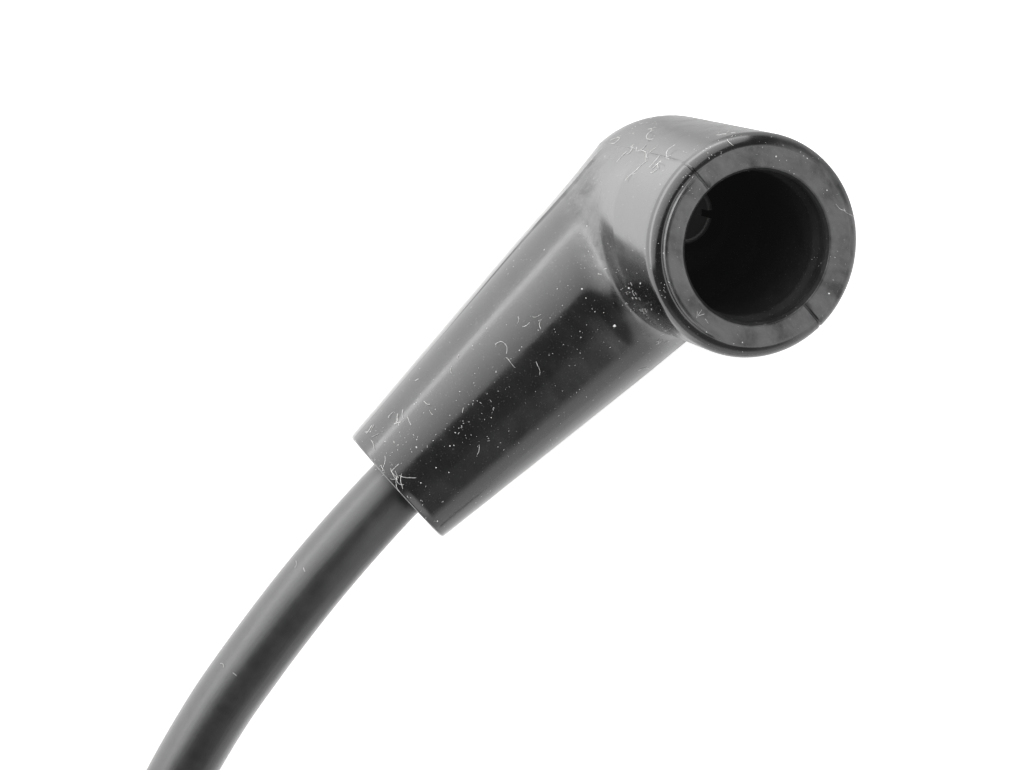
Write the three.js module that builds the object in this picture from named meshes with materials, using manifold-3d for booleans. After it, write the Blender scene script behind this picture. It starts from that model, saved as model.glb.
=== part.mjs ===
// Ignition lead: an 8 mm high-tension cable with a right-angled rubber boot on one
// end, which pushes over a tower, and a straight rubber boot for a spark plug on the
// other. Millimetres, +Z up. The elbow boot lies on its back with its mouth up, its
// cable leaves along +X, and the spare cable lies beside it in one neat coil.
// The origin is on the ground, below the middle of the elbow boot.

import * as THREE from 'three';
import { mergeVertices } from 'three/addons/utils/BufferGeometryUtils.js';
import Module from 'manifold-3d';

// Fits
const SEAT_GAP = 0.3; // between pieces that touch
const BLEND = 0.1; // how far one rubber form stands inside the form that it runs into

// Cable
const CABLE_RADIUS = 4;
const CONDUCTOR_RADIUS = 1.2;
const CABLE_IN_ELBOW = 28.6; // from the elbow's rim to the end of the jacket

// Elbow boot, from the crossing of its two axes
const MOUTH_HEIGHT = 26.9;
const MOUTH_RADIUS = 13.2;
const MOUTH_ROUNDING = 1.9;
const MOUTH_BORE_RADIUS = 8.9;
const LIP_CHAMFER = 0.4;
const LIP_LENGTH = 0.6;
const LIP_RECESS = 0.3;
const RIB_DEPTH = 3; // from the mouth down to the sealing rib
const RIB_WIDTH = 1.2;
const RIB_STAND = 0.35;
const BORE_FLOOR_HEIGHT = 8;
const THROAT_RADIUS = 6;
const THROAT_HEIGHT = 4.2;
const BACK_RADIUS = 13.15;
const BODY_LENGTH = 47.6;
const BODY_END_RADIUS = 8.3;
const BODY_END_ROUNDING = 0.5;
const BEND_FILLET = 3;
const BEND_FILLET_END = 2.5; // the fillet runs out this far above the body's axis

// Elbow terminal, pressed from thin sheet
const SHEET = 0.5;
const SOCKET_SHIFT = 1.6; // the socket stands this far past the mouth's axis
const SOCKET_BORE_RADIUS = 3.2; // grips a 6.3 mm post
const SOCKET_RIM_HEIGHT = 1.2;
const SOCKET_DEPTH = 6.5;
const SOCKET_RIM_ROLL = 0.2;
const SOCKET_SLOT = 0.9;
const CRIMP_LENGTH = 8;
const JACKET_GRIP_LENGTH = 10;
const NECK_WIDTH = 3;

// Spark plug boot and its terminal, from the rim on the cable side
const PLUG_BOOT_LENGTH = 62;
const PLUG_REST_RADIUS = 10; // mouth bead and grip collars, so that the boot lies level
const PLUG_BODY_RADIUS = 8.7;
const PLUG_TAIL_RADIUS = 7;
const PLUG_TAIL_LENGTH = 12;
const PLUG_EDGE = 0.9;
const COLLAR_WIDTH = 3;
const COLLAR_PITCH = 5.5;
const COLLAR_COUNT = 3;
const BEAD_LENGTH = 6;
const PLUG_BORE_RADIUS = 5.6;
const PLUG_BORE_DEPTH = 26;
const PLUG_MOUTH_CHAMFER = 0.9;
const PLUG_RIB_STAND = 0.3;
const PLUG_RIB_WIDTH = 1.6;
const PLUG_RIB_PITCH = 6;
const PLUG_RIB_COUNT = 3;
const CABLE_IN_PLUG = 17;
const PLUG_SOCKET_LENGTH = 9;
const PLUG_SOCKET_SLOT = 1;
const SPRING_WIRE_RADIUS = 0.4;
const SPRING_OPENING = 50; // degrees left open in the spring ring

// Coil
const COIL_RADIUS = 42;
const COIL_ENTRY_HEADING = 28; // degrees from +X to +Y
const COIL_LAYER_COUNT = 2;
const COIL_EXIT_RUN = 38; // from the coil's last turn to the plug boot's rim
const REST_LIFT = 0.1; // keeps the round cable just clear of the ground

// Facets
const ROUND_COUNT = 56;
const SMALL_ROUND_COUNT = 32;
const CABLE_SIDE_COUNT = 10;

// Places that follow from the sizes
const HEAD_X = -(BODY_LENGTH - MOUTH_RADIUS) / 2;
const AXIS_HEIGHT = BACK_RADIUS;
const JACKET_END_X = BODY_LENGTH - CABLE_IN_ELBOW;
const BARREL_RADIUS = CABLE_RADIUS + SEAT_GAP; // inside of a crimp round the jacket
const CRIMP_RADIUS = CONDUCTOR_RADIUS + SEAT_GAP; // inside of a crimp round the conductor
const CAVITY_RADIUS = BARREL_RADIUS + SHEET + SEAT_GAP;
const CABLE_HOLE_RADIUS = CABLE_RADIUS + SEAT_GAP;
const NECK_DROP = CRIMP_RADIUS + SHEET / 4; // from the cable's axis down to the neck's strip
const NECK_CAVITY_RADIUS = Math.hypot(NECK_WIDTH / 2, NECK_DROP + SHEET) + SEAT_GAP;
const CABLE_REST = CABLE_RADIUS + REST_LIFT;
const EXIT = new THREE.Vector3(HEAD_X + BODY_LENGTH, 0, AXIS_HEIGHT);

// The cable's way from the elbow's rim to its first turn of the coil: how far along
// +X and +Y from the rim, and how high its centre is above the ground. It leaves
// straight, sinks to the ground and bends a little to the left.
const CABLE_ROUTE = [
  [8.9, 0.6, 13.0],
  [15.3, 1.4, 12.6],
  [21.4, 2.7, 11.4],
  [27.5, 4.3, 9.9],
  [33.4, 6.1, 8.2],
  [39.2, 8.2, 6.7],
  [44.9, 10.5, 5.4],
  [52.4, 13.7, 4.5],
  [60.4, 17.2, CABLE_REST],
  [69.1, 21.2, CABLE_REST],
  [77.6, 25.4, CABLE_REST],
  [85.7, 29.5, CABLE_REST],
];

const rubber = new THREE.MeshStandardMaterial({ color: 0x2b2c2d, roughness: 0.34, metalness: 0 });
const jacket = new THREE.MeshStandardMaterial({ color: 0x3d3e3f, roughness: 0.55, metalness: 0 });
const plated = new THREE.MeshStandardMaterial({ color: 0xb9b6ac, roughness: 0.3, metalness: 1 });
const spring = new THREE.MeshStandardMaterial({ color: 0x9a9b9d, roughness: 0.25, metalness: 1 });
const core = new THREE.MeshStandardMaterial({ color: 0x7d6b55, roughness: 0.5, metalness: 0.6 });

const wasm = await Module();
wasm.setup();

// A closed geometry as a solid that can be joined and cut
function solid(geometry) {
  const bare = geometry.clone();
  bare.deleteAttribute('normal');
  bare.deleteAttribute('uv');
  const merged = mergeVertices(bare, 1e-4);
  return new wasm.Manifold(new wasm.Mesh({
    numProp: 3,
    vertProperties: new Float32Array(merged.attributes.position.array),
    triVerts: new Uint32Array(merged.index.array),
  }));
}

// A joined or cut solid as a geometry again
function geometryOf(manifold) {
  const { vertProperties, triVerts } = manifold.getMesh();
  const geometry = new THREE.BufferGeometry();
  geometry.setAttribute('position', new THREE.BufferAttribute(new Float32Array(vertProperties), 3));
  geometry.setIndex(new THREE.BufferAttribute(new Uint32Array(triVerts), 1));
  geometry.computeVertexNormals();
  return geometry;
}

// Turned forms: the profile is [radius, place along the axis], outer wall upwards
function turnedZ(profile, segments = ROUND_COUNT) {
  const points = profile.map(([radius, along]) => new THREE.Vector2(radius, along));
  return new THREE.LatheGeometry(points, segments).rotateX(Math.PI / 2);
}

function turnedX(profile, segments = ROUND_COUNT) {
  return turnedZ(profile, segments).rotateY(Math.PI / 2);
}

function arc(centreRadius, centreAlong, radius, fromDegrees, toDegrees, steps) {
  return Array.from({ length: steps + 1 }, (_, i) => {
    const angle = THREE.MathUtils.degToRad(fromDegrees + (toDegrees - fromDegrees) * i / steps);
    return [centreRadius + radius * Math.cos(angle), centreAlong + radius * Math.sin(angle)];
  });
}

function part(name, geometry, material, holder) {
  const mesh = new THREE.Mesh(geometry, material);
  mesh.name = name;
  holder.add(mesh);
  return mesh;
}

// Elbow boot
function bodyRadiusAt(x) {
  const root = BACK_RADIUS - BLEND;
  return root + (BODY_END_RADIUS - root) * x / BODY_LENGTH;
}

function elbowHead() {
  return turnedZ([
    ...arc(0, 0, BACK_RADIUS, -90, 0, 14),
    ...arc(MOUTH_RADIUS - MOUTH_ROUNDING, MOUTH_HEIGHT - MOUTH_ROUNDING, MOUTH_ROUNDING, 0, 90, 5),
    [0, MOUTH_HEIGHT],
  ]);
}

function elbowBody() {
  return turnedX([
    [0, 0],
    [bodyRadiusAt(0), 0],
    ...arc(BODY_END_RADIUS - BODY_END_ROUNDING, BODY_LENGTH - BODY_END_ROUNDING, BODY_END_ROUNDING, 0, 90, 3),
    [0, BODY_LENGTH],
  ]);
}

// A ball of the fillet's radius that touches the head and the body, turned round the
// head from the middle of the bend
function filletBall(turn) {
  const x = (MOUTH_RADIUS + BEND_FILLET) * Math.cos(turn);
  const y = (MOUTH_RADIUS + BEND_FILLET) * Math.sin(turn);
  const height = Math.sqrt(Math.max(0, (bodyRadiusAt(x) + BEND_FILLET) ** 2 - y ** 2));
  return new THREE.Vector3(x, y, height);
}

// How far round the ball rolls before it has sunk to the body's side
function filletReach() {
  let inside = 0;
  let outside = Math.PI / 2;
  for (let i = 0; i < 30; i++) {
    const turn = (inside + outside) / 2;
    if (filletBall(turn).z > BEND_FILLET_END) inside = turn;
    else outside = turn;
  }
  return inside;
}

// The hollow corner inside the bend, as the ball would leave it when it rolls along
// the head and the body: one section for each place of the ball, from the contact on
// the head round to the contact on the body, closed by a point inside the rubber.
function bendFillet() {
  const places = 28;
  const arcSteps = 6;
  const reach = filletReach();
  const positions = [];
  for (let i = 0; i <= places; i++) {
    const ball = filletBall(reach * (2 * i / places - 1));
    const toHead = new THREE.Vector3(-ball.x, -ball.y, 0).normalize();
    const toBody = new THREE.Vector3(0, -ball.y, -ball.z).normalize();
    const between = toHead.angleTo(toBody);
    const hinge = toHead.clone().cross(toBody).normalize();
    const inner = ball.clone().multiplyScalar(0.84 * BACK_RADIUS / (BACK_RADIUS + BEND_FILLET));
    positions.push(...inner.toArray());
    for (let j = 0; j <= arcSteps; j++) {
      const outward = toHead.clone().applyAxisAngle(hinge, between * j / arcSteps);
      positions.push(...ball.clone().addScaledVector(outward, BEND_FILLET + BLEND / 2).toArray());
    }
  }
  return loft(positions, places, arcSteps + 2);
}

// Closes a row of like sections, each with the same number of points, into one solid
function loft(positions, steps, around) {
  const index = [];
  for (let i = 0; i < steps; i++) {
    for (let j = 0; j < around; j++) {
      const a = i * around + j;
      const b = i * around + (j + 1) % around;
      index.push(a, b, b + around, a, b + around, a + around);
    }
  }
  const last = steps * around;
  for (let j = 1; j < around - 1; j++) {
    index.push(0, j + 1, j, last, last + j, last + j + 1);
  }
  const geometry = new THREE.BufferGeometry();
  geometry.setAttribute('position', new THREE.Float32BufferAttribute(positions, 3));
  geometry.setIndex(index);
  return geometry;
}

// The mouth's bore: chamfered lip, shallow recess, sealing rib, then the long wall
// that grips the tower, and the shoulder down to the terminal
function mouthBore() {
  const recess = MOUTH_BORE_RADIUS + LIP_RECESS;
  const rib = MOUTH_BORE_RADIUS - RIB_STAND;
  const ribTop = MOUTH_HEIGHT - RIB_DEPTH;
  const recessTop = MOUTH_HEIGHT - LIP_CHAMFER - LIP_LENGTH;
  const above = MOUTH_HEIGHT + MOUTH_ROUNDING;
  return turnedZ([
    [0, THROAT_HEIGHT],
    [THROAT_RADIUS, THROAT_HEIGHT],
    [MOUTH_BORE_RADIUS, BORE_FLOOR_HEIGHT],
    [MOUTH_BORE_RADIUS, ribTop - RIB_WIDTH],
    [rib, ribTop - RIB_WIDTH + RIB_STAND],
    [rib, ribTop - RIB_STAND],
    [recess, ribTop + LIP_RECESS],
    [recess, recessTop - LIP_RECESS],
    [MOUTH_BORE_RADIUS, recessTop],
    [MOUTH_BORE_RADIUS, MOUTH_HEIGHT - LIP_CHAMFER],
    [MOUTH_BORE_RADIUS + LIP_CHAMFER, MOUTH_HEIGHT],
    [MOUTH_BORE_RADIUS + LIP_CHAMFER, above],
    [0, above],
  ]);
}

// The well that the terminal's socket stands in
function socketWell() {
  const radius = SOCKET_BORE_RADIUS + SHEET + SOCKET_RIM_ROLL + SEAT_GAP;
  const floor = SOCKET_RIM_HEIGHT - SOCKET_DEPTH - SHEET - SEAT_GAP;
  return turnedZ([
    [0, floor],
    [radius, floor],
    [radius, THROAT_HEIGHT + BLEND],
    [0, THROAT_HEIGHT + BLEND],
  ], SMALL_ROUND_COUNT).translate(-SOCKET_SHIFT, 0, 0);
}

// The way of the crimps and the cable through the body
function bodyBore() {
  const gripStart = JACKET_END_X - 2 * SEAT_GAP - SHEET;
  const gripEnd = JACKET_END_X + JACKET_GRIP_LENGTH + SEAT_GAP;
  return turnedX([
    [0, 0],
    [NECK_CAVITY_RADIUS, 0],
    [NECK_CAVITY_RADIUS, gripStart],
    [CAVITY_RADIUS, gripStart],
    [CAVITY_RADIUS, gripEnd],
    [CABLE_HOLE_RADIUS, gripEnd + CAVITY_RADIUS - CABLE_HOLE_RADIUS],
    [CABLE_HOLE_RADIUS, BODY_LENGTH + BODY_END_ROUNDING],
    [0, BODY_LENGTH + BODY_END_ROUNDING],
  ], SMALL_ROUND_COUNT);
}

function elbowBoot() {
  return geometryOf(solid(elbowHead())
    .add(solid(elbowBody()))
    .add(solid(bendFillet()))
    .subtract(solid(mouthBore()))
    .subtract(solid(socketWell()))
    .subtract(solid(bodyBore())));
}

// Crimps of a terminal along +X: the narrow one grips the bare conductor, the wide
// one grips the jacket, and a shoulder joins them at the end of the jacket
function crimps(shoulderX) {
  const narrow = CRIMP_RADIUS;
  const wide = BARREL_RADIUS;
  const start = shoulderX - SEAT_GAP - CRIMP_LENGTH;
  const shoulder = shoulderX - SEAT_GAP;
  const end = shoulderX + JACKET_GRIP_LENGTH;
  return turnedX([
    [narrow, start],
    [narrow + SHEET, start],
    [narrow + SHEET, shoulder - SHEET],
    [wide + SHEET, shoulder - SHEET],
    [wide + SHEET, end],
    [wide, end],
    [wide, shoulder],
    [narrow, shoulder],
    [narrow, start],
  ], SMALL_ROUND_COUNT);
}

// Cup of the elbow's terminal, open upwards, with a rolled rim and four spring slots
function socketCup() {
  const inner = SOCKET_BORE_RADIUS;
  const outer = inner + SHEET;
  const floor = SOCKET_RIM_HEIGHT - SOCKET_DEPTH;
  const cup = solid(turnedZ([
    [0, floor - SHEET],
    [outer, floor - SHEET],
    [outer, SOCKET_RIM_HEIGHT - 2 * SOCKET_RIM_ROLL],
    ...arc(outer, SOCKET_RIM_HEIGHT - SOCKET_RIM_ROLL, SOCKET_RIM_ROLL, -60, 90, 4),
    [inner, SOCKET_RIM_HEIGHT],
    [inner, floor],
    [0, floor],
  ], SMALL_ROUND_COUNT));
  const slotDepth = SOCKET_DEPTH * 0.55;
  const slotWidth = 3 * outer;
  const slot = new THREE.BoxGeometry(slotWidth, SOCKET_SLOT, slotDepth)
    .translate(0, 0, SOCKET_RIM_HEIGHT + SHEET - slotDepth / 2)
    .rotateZ(Math.PI / 4);
  return cup.subtract(solid(slot)).subtract(solid(slot.clone().rotateZ(Math.PI / 2)));
}

function elbowTerminal() {
  const neckStart = -SOCKET_SHIFT + SOCKET_BORE_RADIUS + SHEET / 2;
  const neckEnd = JACKET_END_X - SEAT_GAP - SHEET / 2;
  const neck = new THREE.BoxGeometry(neckEnd - neckStart, NECK_WIDTH, SHEET)
    .translate((neckStart + neckEnd) / 2, 0, -NECK_DROP - SHEET / 2);
  return geometryOf(socketCup().translate([-SOCKET_SHIFT, 0, 0])
    .add(solid(neck))
    .add(solid(crimps(JACKET_END_X))));
}

// Bare end of the conductor, as long as its crimp holds
function conductorTail(jacketEndX) {
  const end = jacketEndX - CRIMP_LENGTH + SHEET;
  return turnedX([
    [0, end],
    [CONDUCTOR_RADIUS, end],
    [CONDUCTOR_RADIUS, jacketEndX - SEAT_GAP],
    [0, jacketEndX - SEAT_GAP],
  ], CABLE_SIDE_COUNT);
}

// Spark plug boot along -X, from its cable rim at zero to its mouth
function collar(middle) {
  const low = middle - COLLAR_WIDTH / 2;
  const high = middle + COLLAR_WIDTH / 2;
  return [
    [PLUG_BODY_RADIUS, low],
    [PLUG_REST_RADIUS, low + PLUG_EDGE],
    [PLUG_REST_RADIUS, high - PLUG_EDGE],
    [PLUG_BODY_RADIUS, high],
  ];
}

function plugBootOutside() {
  const firstCollar = PLUG_TAIL_LENGTH + COLLAR_WIDTH;
  const collars = Array.from({ length: COLLAR_COUNT }, (_, i) => collar(firstCollar + i * COLLAR_PITCH));
  const beadStart = PLUG_BOOT_LENGTH - BEAD_LENGTH;
  return [
    [0, 0],
    ...arc(PLUG_TAIL_RADIUS - PLUG_EDGE, PLUG_EDGE, PLUG_EDGE, -90, 0, 3),
    [PLUG_TAIL_RADIUS, PLUG_TAIL_LENGTH - PLUG_BODY_RADIUS + PLUG_TAIL_RADIUS],
    [PLUG_BODY_RADIUS, PLUG_TAIL_LENGTH],
    ...collars.flat(),
    [PLUG_BODY_RADIUS, beadStart - PLUG_REST_RADIUS + PLUG_BODY_RADIUS],
    [PLUG_REST_RADIUS, beadStart],
    ...arc(PLUG_REST_RADIUS - PLUG_EDGE, PLUG_BOOT_LENGTH - PLUG_EDGE, PLUG_EDGE, 0, 90, 3),
    [0, PLUG_BOOT_LENGTH],
  ];
}

function plugBootInside() {
  const gripStart = CABLE_IN_PLUG - JACKET_GRIP_LENGTH - SEAT_GAP;
  const boreStart = PLUG_BOOT_LENGTH - PLUG_BORE_DEPTH;
  const rib = PLUG_BORE_RADIUS - PLUG_RIB_STAND;
  const ribs = Array.from({ length: PLUG_RIB_COUNT }, (_, i) => {
    const middle = PLUG_BOOT_LENGTH - (PLUG_RIB_COUNT - i) * PLUG_RIB_PITCH;
    return [
      [PLUG_BORE_RADIUS, middle - PLUG_RIB_WIDTH / 2],
      [rib, middle],
      [PLUG_BORE_RADIUS, middle + PLUG_RIB_WIDTH / 2],
    ];
  });
  return [
    [0, -PLUG_EDGE],
    [CABLE_HOLE_RADIUS, -PLUG_EDGE],
    [CABLE_HOLE_RADIUS, gripStart - CAVITY_RADIUS + CABLE_HOLE_RADIUS],
    [CAVITY_RADIUS, gripStart],
    [CAVITY_RADIUS, boreStart],
    [PLUG_BORE_RADIUS, boreStart + PLUG_BORE_RADIUS - CAVITY_RADIUS],
    ...ribs.flat(),
    [PLUG_BORE_RADIUS, PLUG_BOOT_LENGTH - PLUG_MOUTH_CHAMFER],
    [PLUG_BORE_RADIUS + PLUG_MOUTH_CHAMFER, PLUG_BOOT_LENGTH],
    [PLUG_BORE_RADIUS + PLUG_MOUTH_CHAMFER, PLUG_BOOT_LENGTH + PLUG_EDGE],
    [0, PLUG_BOOT_LENGTH + PLUG_EDGE],
  ];
}

function plugBoot() {
  return geometryOf(solid(turnedX(plugBootOutside(), SMALL_ROUND_COUNT))
    .subtract(solid(turnedX(plugBootInside(), SMALL_ROUND_COUNT))));
}

// Straight terminal for the plug's nut: crimps for the cable, then a slotted socket
// with a groove round it for the spring ring
function plugTerminal() {
  const crimped = solid(crimps(-CABLE_IN_PLUG).rotateZ(Math.PI));
  const start = CABLE_IN_PLUG + SEAT_GAP + CRIMP_LENGTH;
  const end = start + PLUG_SOCKET_LENGTH;
  const inner = SOCKET_BORE_RADIUS;
  const outer = inner + SHEET;
  const groove = springPlace();
  const grooveHalf = SPRING_WIRE_RADIUS + SEAT_GAP;
  const grooveRadius = inner + SHEET / 2;
  const socket = solid(turnedX([
    [0, start - SHEET],
    [outer, start - SHEET],
    [outer, groove - grooveHalf],
    [grooveRadius, groove - grooveHalf],
    [grooveRadius, groove + grooveHalf],
    [outer, groove + grooveHalf],
    [outer, end],
    [inner, end],
    [inner, start],
    [0, start],
  ], SMALL_ROUND_COUNT));
  const slotLength = PLUG_SOCKET_LENGTH * 0.7;
  const slot = new THREE.BoxGeometry(slotLength, PLUG_SOCKET_SLOT, 3 * outer)
    .translate(end + SHEET - slotLength / 2, 0, 0);
  return geometryOf(crimped.add(socket)
    .subtract(solid(slot))
    .subtract(solid(slot.clone().rotateX(Math.PI / 2))));
}

function springPlace() {
  return CABLE_IN_PLUG + CRIMP_LENGTH + PLUG_SOCKET_LENGTH * 0.6;
}

// Open ring of round wire in the socket's groove
function springRing() {
  const radius = SOCKET_BORE_RADIUS + SHEET / 2 + SEAT_GAP + SPRING_WIRE_RADIUS;
  const open = THREE.MathUtils.degToRad(SPRING_OPENING);
  const points = Array.from({ length: 25 }, (_, i) => {
    const angle = open / 2 + (2 * Math.PI - open) * i / 24;
    return new THREE.Vector3(springPlace(), radius * Math.cos(angle), radius * Math.sin(angle));
  });
  return tube(points, SPRING_WIRE_RADIUS, 8, 36);
}

// Round tube along a smooth curve through the points
function tube(points, radius, sides, steps) {
  const section = new THREE.Shape(Array.from({ length: sides }, (_, i) => {
    const angle = 2 * Math.PI * (i + 0.5) / sides;
    return new THREE.Vector2(radius * Math.cos(angle), radius * Math.sin(angle));
  }));
  const extrudePath = new THREE.CatmullRomCurve3(points, false, 'centripetal');
  return new THREE.ExtrudeGeometry(section, { steps, extrudePath, bevelEnabled: false });
}

// Cable
function routePoints() {
  const inside = new THREE.Vector3(-CABLE_IN_ELBOW, 0, 0).add(EXIT);
  const halfway = new THREE.Vector3(-CABLE_IN_ELBOW / 2, 0, 0).add(EXIT);
  const free = CABLE_ROUTE.map(([along, aside, height]) => new THREE.Vector3(EXIT.x + along, EXIT.y + aside, height));
  return [inside, halfway, EXIT.clone(), ...free];
}

function coilCentre() {
  const entry = routePoints().at(-1);
  const heading = THREE.MathUtils.degToRad(COIL_ENTRY_HEADING);
  return new THREE.Vector3(
    entry.x - COIL_RADIUS * Math.sin(heading),
    entry.y + COIL_RADIUS * Math.cos(heading),
    0,
  );
}

// The coil's turns lie on each other, so its solid is a ring with a tall round section
function coilRing(growth = 0) {
  const radius = CABLE_RADIUS + growth;
  const lowest = CABLE_REST;
  const highest = CABLE_REST + (COIL_LAYER_COUNT - 1) * 2 * CABLE_RADIUS;
  const profile = [
    ...arc(COIL_RADIUS, lowest, radius, -180, 0, 7),
    ...arc(COIL_RADIUS, highest, radius, 0, 180, 7),
  ];
  profile.push(profile[0]);
  const centre = coilCentre();
  return turnedZ(profile, ROUND_COUNT).translate(centre.x, centre.y, 0);
}

function cableRun() {
  return geometryOf(solid(tube(routePoints(), CABLE_RADIUS, CABLE_SIDE_COUNT, 14))
    .subtract(solid(coilRing(SEAT_GAP))));
}

function plugRim() {
  const centre = coilCentre();
  return new THREE.Vector3(centre.x - COIL_EXIT_RUN, centre.y + COIL_RADIUS, PLUG_REST_RADIUS);
}

function cableLeadOut() {
  const centre = coilCentre();
  const top = CABLE_REST + (COIL_LAYER_COUNT - 1) * 2 * CABLE_RADIUS;
  const rim = plugRim();
  const across = centre.y + COIL_RADIUS;
  const points = [
    new THREE.Vector3(centre.x, across, top),
    new THREE.Vector3(centre.x - COIL_EXIT_RUN * 0.3, across, top),
    new THREE.Vector3(centre.x - COIL_EXIT_RUN * 0.7, across, rim.z),
    rim,
    new THREE.Vector3(rim.x - CABLE_IN_PLUG, rim.y, rim.z),
  ];
  return geometryOf(solid(tube(points, CABLE_RADIUS, CABLE_SIDE_COUNT, 8))
    .subtract(solid(coilRing(SEAT_GAP))));
}

const lead = new THREE.Group();

const elbow = new THREE.Group();
elbow.position.set(HEAD_X, 0, AXIS_HEIGHT);
lead.add(elbow);
part('elbow_boot', elbowBoot(), rubber, elbow);
part('elbow_terminal', elbowTerminal(), plated, elbow);
part('elbow_conductor', conductorTail(JACKET_END_X), core, elbow);

part('cable_run', cableRun(), jacket, lead);
part('cable_coil', coilRing(), jacket, lead);
part('cable_lead_out', cableLeadOut(), jacket, lead);

const plugEnd = new THREE.Group();
plugEnd.position.copy(plugRim());
plugEnd.rotation.z = Math.PI;
lead.add(plugEnd);
part('plug_boot', plugBoot(), rubber, plugEnd);
part('plug_terminal', plugTerminal(), plated, plugEnd);
part('plug_terminal_spring', springRing(), spring, plugEnd);
part('plug_conductor', conductorTail(-CABLE_IN_PLUG).rotateZ(Math.PI), core, plugEnd);

export default lead;
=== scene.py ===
# A spark plug wire: an 8 mm ignition cable with a right-angled rubber boot on one end and
# a straight boot for the spark plug on the other. Metres, +Z up, in the frame of the part.
# It lies on a white table under soft studio light, seen from above the elbow boot.

import math
import random

import bmesh
import bpy
import numpy as np
from mathutils import Matrix, Vector
from mathutils.bvhtree import BVHTree


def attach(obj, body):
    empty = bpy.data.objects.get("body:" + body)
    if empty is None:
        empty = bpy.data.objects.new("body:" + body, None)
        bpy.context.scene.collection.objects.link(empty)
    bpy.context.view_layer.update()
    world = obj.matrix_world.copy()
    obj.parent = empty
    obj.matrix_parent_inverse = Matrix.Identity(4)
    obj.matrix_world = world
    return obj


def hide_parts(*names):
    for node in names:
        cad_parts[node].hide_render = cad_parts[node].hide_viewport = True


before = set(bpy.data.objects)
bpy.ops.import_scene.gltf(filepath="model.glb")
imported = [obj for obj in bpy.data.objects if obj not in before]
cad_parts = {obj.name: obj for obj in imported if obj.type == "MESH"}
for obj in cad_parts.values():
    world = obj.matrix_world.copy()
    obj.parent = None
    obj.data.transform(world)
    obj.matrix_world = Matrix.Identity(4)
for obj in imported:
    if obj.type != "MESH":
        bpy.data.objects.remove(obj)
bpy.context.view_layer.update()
MM = 0.001

# Camera
# A long lens above the elbow boot, looking down into its mouth. The picture is turned so
# that the cable leaves through the lower left corner.
def new_object(name, data):
    """A new object in the scene."""
    made = bpy.data.objects.new(name, data)
    bpy.context.scene.collection.objects.link(made)
    return made


camera_data = bpy.data.cameras.new("studio_camera")
camera_data.lens = 102.54
camera_data.sensor_width = 36
camera_data.clip_start = 0.01
camera = new_object("studio_camera", camera_data)
bpy.context.scene.camera = camera
camera_right = Vector((-0.71104432, 0.62524354, 0.32169317))
camera_up = Vector((-0.69105812, -0.70586661, -0.15553459))
camera_back = Vector((0.12982547, -0.33290066, 0.93398207))
camera_place = Matrix((camera_right, camera_up, camera_back)).transposed().to_4x4()
camera_place.translation = (0.058138, -0.118895, 0.349206)
camera.matrix_world = camera_place

# Cable
# High-tension ignition cable: a conductor in insulation under a black jacket of matte
# rubber, extruded round. It leaves the elbow boot straight, sinks to the table, lies in
# one neat coil beside the boot and ends in the spark plug boot.
CABLE_RADIUS = 4.0
CABLE_SIDES = 40
CABLE_STEP = 1.0
CABLE_REST = 4.1
CABLE_IN_ELBOW = 28.6
CABLE_IN_PLUG = 17.0
COIL_RADIUS = 42.0
COIL_HEADING = 28.0
COIL_EXIT_RUN = 38.0
# where the coil starts to climb onto its first turn, lies on it, and ends, in degrees
COIL_TURNS = (316, 373, 540)
PLUG_HEIGHT = 10.0
ELBOW_EXIT = Vector((30.4, 0.0, 13.15))
CABLE_ROUTE = (
    (8.9, 0.6, 13.0), (15.3, 1.4, 12.6), (21.4, 2.7, 11.4), (27.5, 4.3, 9.9),
    (33.4, 6.1, 8.2), (39.2, 8.2, 6.7), (44.9, 10.5, 5.4), (52.4, 13.7, 4.5),
    (60.4, 17.2, CABLE_REST), (69.1, 21.2, CABLE_REST), (77.6, 25.4, CABLE_REST),
    (85.7, 29.5, CABLE_REST),
)


def smooth_way(points, step, before=None, after=None):
    """Points a step apart on a centripetal curve through the given ones."""
    p = [before or 2 * points[0] - points[1], *points, after or 2 * points[-1] - points[-2]]
    way = []
    for i in range(1, len(p) - 2):
        p0, p1, p2, p3 = p[i - 1:i + 3]
        k1 = math.sqrt((p1 - p0).length)
        k2 = k1 + math.sqrt((p2 - p1).length)
        k3 = k2 + math.sqrt((p3 - p2).length)
        count = max(1, round((p2 - p1).length / step))
        for j in range(count):
            t = k1 + (k2 - k1) * j / count
            a1 = p0 * (k1 - t) / k1 + p1 * t / k1
            a2 = p1 * (k2 - t) / (k2 - k1) + p2 * (t - k1) / (k2 - k1)
            a3 = p2 * (k3 - t) / (k3 - k2) + p3 * (t - k2) / (k3 - k2)
            b1 = a1 * (k2 - t) / k2 + a2 * t / k2
            b2 = a2 * (k3 - t) / (k3 - k1) + a3 * (t - k1) / (k3 - k1)
            way.append(b1 * (k2 - t) / (k2 - k1) + b2 * (t - k1) / (k2 - k1))
    way.append(points[-1].copy())
    return way


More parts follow.
